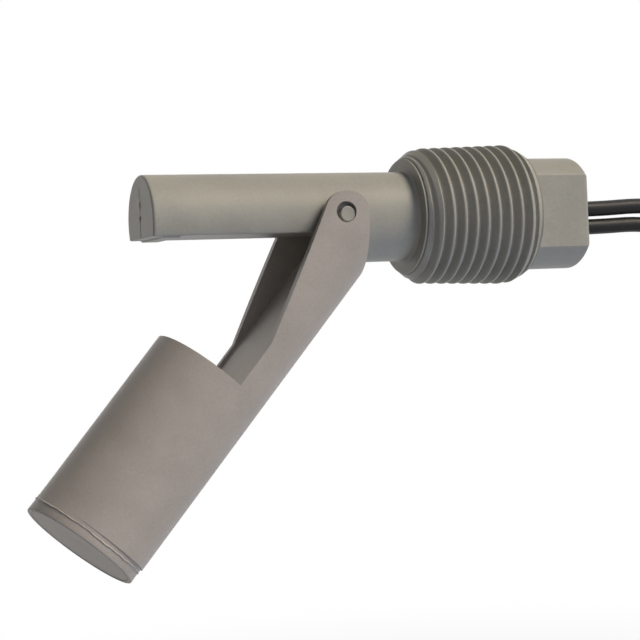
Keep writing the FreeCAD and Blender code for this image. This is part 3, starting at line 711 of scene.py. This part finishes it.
# %% [markdown]
# The two hinge pins are moulded with the stem. Each is a short turned stub with a broken
# edge, on a low boss that shows through the ear's hole. The hole is larger than the pin,
# and the pin sits low in it. They are surfaces of revolution like the head, carried round
# the hinge axis.

# %% Hinge pins
PIN_RADIUS = 1.15
PIN_END = 8.75               # from the stem's axis
PIN_EDGE, PIN_DISH = 0.2, 0.05       # its rounded edge, and how deep its end is dished
BOSS_RADIUS, BOSS_END = 2.0, 7.4
PIN_ROOT = 5.0               # inside the stem


def pin_surface(side):
    """(distance from the stem's axis, radius) rows, turned about an axis along Y."""
    profile = [(PIN_ROOT, 0.0), (PIN_ROOT, BOSS_RADIUS), (BOSS_END, BOSS_RADIUS)]
    profile += [(BOSS_END, PIN_RADIUS), (PIN_END - PIN_EDGE - 0.02, PIN_RADIUS)]
    profile += rounded((PIN_END - PIN_EDGE, PIN_RADIUS - PIN_EDGE), PIN_EDGE, 90, 0, 5)[1:]
    profile += [(PIN_END - PIN_DISH, PIN_RADIUS - 0.42), (PIN_END - PIN_DISH, 0.0)]
    points = turned(profile, 64)
    out, x, z = points[..., 0], points[..., 1], points[..., 2]
    return np.stack([pivot[0] + x, side * out, pivot[2] + z], axis=-1)


for side, name in ((-1, "hinge_pin_near"), (1, "hinge_pin_far")):
    pin_mesh = tidy_mesh(grid_mesh(name, pin_surface(side)))
    add_piece(name, pin_mesh, body_plastic, "switch")

# %% [markdown]
# The float and its arm are one moulding, and the arm carries on the tube's cylinder. So the
# whole thing starts as one turned tube, closed at its front. Cutting shapes then take away
# what is over the arm's sloping edge, the slot between its ears, room for the stem and
# the hinge holes. Cuts like these cross a cylinder in curves that no single grid follows,
# so they are made with Boolean modifiers, which are applied at once. A small bevel breaks
# the edges.

# %% Float and arm sizes
FLOAT_RADIUS = 8.95
FLOAT_FRONT, TUBE_END = 29.0, 57.4   # the tube's ends, from the hinge axis
FLOAT_WALL, FRONT_WALL = 1.3, 1.6
BLANK_END = 4.0              # of the uncut arm, past the hinge axis
FOOT_DROP, FLOOR_DROP = 2.35, 2.8    # under the hinge: the arm's edge at its foot, and its floor
EAR_ROUND, EAR_TAPER, EAR_INSIDE = 3.35, math.radians(15), 7.6
ARM_DEPTH = 11.0             # more than the float's radius, so that the end's slope cuts it all
HOLE_RADIUS = 1.5
HOLE_PLAY = (-0.3, 0.3)      # the hole's middle from the pin's, in x and z, as the float hangs
STOP_GAP = 0.15
DRAFT = 0.0025               # the radius shrinks by this for each millimetre towards the cap
BAND, BAND_DEPTH = 0.6, 0.17         # turned off the tube's end before the cap is welded
CAP_SHIFT = 0.15             # the cap sits a little to the upper side
CLEAR = 20.0                 # outside everything: where a cutter may end
EDGE_WIDTH = 0.16

# %% [markdown]
# The arm is easiest to draw level, as it lies when the float is up, so every shape is drawn
# that way and then turned down to the angle at which it hangs. A cutter is an outline
# seen from the side, carried straight through the float.


# %% Hanging and cutting
def hang(points):
    """Level arm to hanging arm: a turn about the hinge axis, then a move to the pivot."""
    c, s = math.cos(hang_angle), math.sin(hang_angle)
    x, y, z = points[..., 0], points[..., 1], points[..., 2]
    return np.stack([pivot[0] + c * x - s * z, y, pivot[2] + s * x + c * z], axis=-1)


def prism(name, outline, reach):
    """A cutter: an (x, z) outline of the level arm, carried along Y from -reach to reach."""
    outline = np.array(outline, dtype=float)
    count = len(outline)
    near = np.stack([outline[:, 0], np.full(count, -reach), outline[:, 1]], axis=-1)
    points = hang(np.concatenate([near, near * (1, -1, 1)]))
    index = np.arange(count)
    after = np.roll(index, -1)
    sides = np.stack([index, after, count + after, count + index], axis=-1).tolist()
    faces = sides + [index[::-1].tolist(), (count + index).tolist()]
    mesh = bpy.data.meshes.new(name)
    mesh.from_pydata((points * MM).tolist(), [], faces)
    return tidy_mesh(mesh)


def cut(piece, *cutters):
    """Takes the cutters from a piece, for good."""
    for mesh in cutters:
        tool = bpy.data.objects.new("cutter", mesh)
        bpy.context.scene.collection.objects.link(tool)
        step = piece.modifiers.new("cut", "BOOLEAN")
        step.operation = "DIFFERENCE"
        step.solver = "EXACT"
        step.object = tool
        view = bpy.context.evaluated_depsgraph_get()
        result = bpy.data.meshes.new_from_object(piece.evaluated_get(view))
        piece.modifiers.remove(step)
        piece.data = result
        bpy.data.objects.remove(tool)
        print(mesh.name, "is cut:", len(result.polygons), "faces")


print("the tube's front, hanging, mm:", hang(np.array([-FLOAT_FRONT, 0.0, 0.0])).round(2))

# %% [markdown]
# Four cutters shape the arm. Inside the float no two of them share a plane, because a
# Boolean can leave holes or stray faces where two cuts lie in one plane.


# %% Cutters
def over_the_arm():
    """Everything above the arm's edge: its flat foot, its slope, the ear's round, the end's
    slope, and round by the top."""
    top, top_x = EAR_ROUND * math.cos(EAR_TAPER), -EAR_ROUND * math.sin(EAR_TAPER)
    foot_x = top_x - (top + FOOT_DROP) / math.tan(EAR_TAPER)
    turn = np.linspace(-EAR_TAPER, math.radians(135), 28)
    ear = [(EAR_ROUND * math.sin(a), EAR_ROUND * math.cos(a)) for a in turn]
    back_x, back_z = ear[-1]
    end_x = back_x - (ARM_DEPTH + back_z)
    foot = [(-FLOAT_FRONT, CLEAR), (-FLOAT_FRONT, -FOOT_DROP), (foot_x, -FOOT_DROP)]
    return foot + ear + [(end_x, -ARM_DEPTH), (CLEAR, -ARM_DEPTH), (CLEAR, CLEAR)]


def slot():
    """The slot between the ears, down to the trough's floor."""
    start = 0.05 - FLOAT_FRONT       # a hair off the plane that the space over the arm ends at
    end = CLEAR + 5.0                # and off that space's far end
    return [(start, CLEAR), (start, -FLOOR_DROP), (end, -FLOOR_DROP), (end, CLEAR)]


def saddle():
    """A ball-ended rod along the stem, from the hinge on: the room that the stem's round
    root needs when the float hangs."""
    radius = STEM_RADIUS + STOP_GAP
    profile = rounded((0.0, 0.0), radius, 180, 90, 24) + [(30.0, radius), (30.0, 0.0)]
    return tidy_mesh(grid_mesh("saddle", turned(profile) + pivot))


def hinge_hole():
    """A circle whose middle is the pin's plus the play, turned back to the level arm."""
    c, s = math.cos(hang_angle), math.sin(hang_angle)
    middle_x = HOLE_PLAY[0] * c + HOLE_PLAY[1] * s
    middle_z = -HOLE_PLAY[0] * s + HOLE_PLAY[1] * c
    turn = np.linspace(0, 2 * math.pi, 64, endpoint=False)
    return [(middle_x + HOLE_RADIUS * math.cos(a), middle_z + HOLE_RADIUS * math.sin(a))
            for a in turn]

# %% [markdown]
# The blank is turned, then cut: the space over the arm first, then the slot, the room for
# the stem's root, and the hinge holes. The bevel stays a live modifier, and it breaks only
# the edges that the cuts left sharp.


# %% Float and arm
def uncut_float():
    """The arm's and tube's outside from past the hinge to the band, the band, then the tube's
    bore and its front wall, as (x, radius) rows. The band's own rows shift with the cap."""
    inside, front = FLOAT_RADIUS - FLOAT_WALL, -FLOAT_FRONT - FRONT_WALL
    outside = [(BLANK_END, 0.0), (BLANK_END, FLOAT_RADIUS)]
    outside += [(x, FLOAT_RADIUS + DRAFT * (x + FLOAT_FRONT))
                for x in np.linspace(-2, BAND - TUBE_END, 12)]
    band = [(BAND - TUBE_END, FLOAT_RADIUS - BAND_DEPTH), (-TUBE_END, FLOAT_RADIUS - BAND_DEPTH)]
    bore = [(-TUBE_END, inside), (front, inside), (front, 0.0)]
    points = turned(outside + band + bore, 160)
    points[len(outside):len(outside + band), :, 2] += CAP_SHIFT
    return hang(points)


float_mesh = tidy_mesh(grid_mesh("float_and_arm", uncut_float()))
float_piece = add_piece("float_and_arm", float_mesh, float_plastic, "float")
cut(float_piece, prism("over", over_the_arm(), CLEAR), prism("slot", slot(), EAR_INSIDE),
    saddle(), prism("holes", hinge_hole(), CLEAR))
float_piece.data.shade_smooth()
float_piece.data.set_sharp_from_angle(angle=math.radians(30))
broken = float_piece.modifiers.new("broken edges", "BEVEL")
broken.width = EDGE_WIDTH * MM
broken.segments = 2
broken.limit_method = "ANGLE"
broken.angle_limit = math.radians(35)
broken.harden_normals = True
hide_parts("float_shell")

# %% [markdown]
# The cap is spun until it melts on to the tube. That leaves a thin bead, which is never
# quite even, and the cap ends up a little off the tube's middle, with a face that is not
# quite square to it. It is a turned surface, so all three are small moves of its rows.

# %% End cap
CAP_STEP = 0.17              # the cap is this much smaller in radius than the tube
CAP_FACE = 59.3              # from the hinge axis to the middle of the cap's face
CAP_TILT = 0.07              # the face leans towards the near side
CAP_EDGE = 0.15              # the rounded edge
WAVES = ((0.05, 5, 0.7), (0.04, 11, 2.1), (0.03, 29, 0.0))   # the bead's height, count, phase


def cap_surface():
    """Rows run from the seam over the bead, down the cap's side, round its edge to its dish.
    The bead's rows move along the cap by a sum of sine waves round it, and all rows past the
    bead by the tilt times y."""
    radius = FLOAT_RADIUS - CAP_STEP
    bead = [(0.3, -radius), (0.3, -0.3), (0.1, -0.1), (0.03, 0.04), (-0.06, 0.1), (-0.15, 0.04),
            (-0.2, -0.03), (-0.35, -0.03)]
    bead = [(x - TUBE_END, radius + out) for x, out in bead]
    edge = rounded((-CAP_FACE + CAP_EDGE, radius - CAP_EDGE), CAP_EDGE, 90, 180, 5)
    dish = [(0.0, -0.45), (0.2, -0.6), (0.2, -0.7), (0.08, -0.85), (0.08, -radius)]
    dish = [(x - CAP_FACE, radius + out) for x, out in dish]
    profile = bead + edge + dish
    points = turned(profile, 256)
    angle = np.linspace(0, 2 * math.pi, 256, endpoint=False)
    wander = sum(height * np.sin(count * angle + phase) for height, count, phase in WAVES)
    share = np.zeros(len(profile))
    share[3:7] = (0.6, 1.0, 1.0, 0.5)        # of the waves, on the bead's outer rows
    points[..., 0] += share[:, None] * wander
    points[len(bead):, :, 0] -= CAP_TILT * points[len(bead):, :, 1]
    points[..., 2] += CAP_SHIFT
    return hang(points)


cap_mesh = tidy_mesh(grid_mesh("end_cap", cap_surface()), sharp=30)
cap = add_piece("end_cap", cap_mesh, float_plastic, "float")
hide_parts("float_end_cap")

# %% [markdown]
# The cap's face is darker than its side. Its browner tone is the cap's own, and the rest of
# the darkness is painted shade, for a face that turns down and away from the light. It could
# be a piece of its own, but then its edge would need a joint that the real cap does not
# have. A second finish on the face's own polygons keeps the cap whole.

# %% The cap's face and its painted shade
faces = np.empty(len(cap.data.polygons) * 3)
cap.data.polygons.foreach_get("normal", faces)
outwards = np.array((-math.cos(hang_angle), 0.0, -math.sin(hang_angle)))
on_face = faces.reshape(-1, 3) @ outwards > 0.8      # within about 37 degrees of outwards
# This second finish holds painted shade as well as the face's browner tone.
cap.data.materials.append(cap_face_shaded_plastic)
cap.data.polygons.foreach_set("material_index", on_face.astype(int))
print("faces of the cap with the darker finish:", int(on_face.sum()))

# %% [markdown]
# The room is plain: a pale floor below the switch and a white surround. Lamps bright enough
# to make them white would wash the switch out. So they glow white only where they are seen,
# directly or in a reflection, and they light the switch hardly at all. The floor's glow is
# weaker near the switch, so that its shadow stays, and full further out, so that no horizon
# shows.

# %% Room
FLOOR_GAP = 4.0
FLOOR_HALF = 2000.0          # half the floor's width
SHADE_REACH = 150.0          # the floor is plain white beyond this distance
NEAR_GLOW = 0.86             # the glow's share near the switch
WORLD_LIGHT = 0.03           # what the surround lights the switch with; 1 would be white
floor_z = cad_box[0][2] / MM - FLOOR_GAP
corners = [(x * FLOOR_HALF * MM, y * FLOOR_HALF * MM, floor_z * MM)
           for x, y in ((-1, -1), (1, -1), (1, 1), (-1, 1))]
floor_mesh = bpy.data.meshes.new("floor")
floor_mesh.from_pydata(corners, [], [(0, 1, 2, 3)])


def seen_directly(tree):
    """1 for what the camera sees, also in a reflection or through glass, otherwise 0."""
    path = node(tree, "LightPath")
    seen = path.outputs["Is Camera Ray"]
    for name in ("Is Glossy Ray", "Is Transmission Ray"):
        either = node(tree, "Math", {"operation": "MAXIMUM"})
        tree.links.new(seen, either.inputs[0])
        tree.links.new(path.outputs[name], either.inputs[1])
        seen = either.outputs[0]
    return seen


def pale_floor():
    """Painted board: a matt, cool grey that takes the shadow, under a white glow."""
    material, tree, shader = new_finish("painted_pale_floor", Roughness=0.9)
    shader.inputs["Base Color"].default_value = colour("#8A8F96")
    where = node(tree, "TexCoord").outputs["Object"]
    away = node(tree, "VectorMath", {"operation": "LENGTH"}, Vector=where)
    share = node(tree, "MapRange", {"interpolation_type": "SMOOTHSTEP"},
                 Value=away.outputs["Value"], From_Min=0.4 * SHADE_REACH * MM,
                 From_Max=SHADE_REACH * MM, To_Min=NEAR_GLOW, To_Max=1.0)
    amount = node(tree, "Math", {"operation": "MULTIPLY"})
    tree.links.new(seen_directly(tree), amount.inputs[0])
    tree.links.new(share.outputs["Result"], amount.inputs[1])
    glow = node(tree, "Emission", Color=colour("#FFFFFF"), Strength=1.0)
    mixed = node(tree, "MixShader", Fac=amount.outputs[0])
    tree.links.new(shader.outputs[0], mixed.inputs[1])
    tree.links.new(glow.outputs[0], mixed.inputs[2])
    tree.links.new(mixed.outputs[0], tree.nodes["Material Output"].inputs["Surface"])
    return material


floor_mesh.materials.append(pale_floor())
floor = bpy.data.objects.new("floor", floor_mesh)
floor.visible_shadow = False     # the low lamp shines up through it
bpy.context.scene.collection.objects.link(floor)

# %% [markdown]
# The surround is the world's own background, so that it has no walls that could shade the
# switch: dim for the light that reaches the switch, and white where it is seen.

# %% Surround
world = bpy.data.worlds.new("studio")
world.use_nodes = True
bpy.context.scene.world = world
sky = world.node_tree
dim = sky.nodes["Background"]
dim.inputs["Color"].default_value = colour("#FFFFFF")
dim.inputs["Strength"].default_value = WORLD_LIGHT
white = node(sky, "Background", Color=colour("#FFFFFF"), Strength=1.0)
surround = node(sky, "MixShader", Fac=seen_directly(sky))
sky.links.new(dim.outputs[0], surround.inputs[1])
sky.links.new(white.outputs[0], surround.inputs[2])
sky.links.new(surround.outputs[0], sky.nodes["World Output"].inputs["Surface"])
print("floor at", round(floor_z, 2), "mm, world light", WORLD_LIGHT)

# %% [markdown]
# Five distant lamps stand in for large soft ones. Near area lamps would look alike, but
# their light would change with the distance and they would show in reflections. The key
# lamp comes from the upper right in front and is slightly warm. The front and the low
# lamps are cooler and fill the sides that face forwards and down. What faces left stays in
# shade, which brings out the thread's crests. The rear and the back lamps light the far
# side, so that the switch looks right from behind too.


# %% Lamps
def lamp(name, towards, strength, width, shade):
    """A distant lamp that lights the switch from one direction; its width, in degrees, is how
    soft its shadows are."""
    data = bpy.data.lights.new(name, "SUN")
    data.energy = strength
    data.angle = math.radians(width)
    data.color = colour(shade)[:3]
    light = bpy.data.objects.new(name, data)
    bpy.context.scene.collection.objects.link(light)
    light.rotation_euler = Vector(towards).to_track_quat("Z", "Y").to_euler()
    print(name, "lamp:", strength)


lamp("key", (0.55, -0.50, 0.67), 2.64, 24, "#FFF3DB")
lamp("front", (0.30, -0.95, 0.10), 0.80, 50, "#DEE8FF")
lamp("low", (0.50, -0.50, -0.70), 1.28, 60, "#DCE6FF")
lamp("rear", (-0.10, 0.97, 0.10), 0.42, 50, "#FFF3E6")
lamp("back", (0.40, 0.90, -0.10), 0.8, 50, "#F2F5FF")
bpy.context.scene.view_settings.view_transform = "Standard"
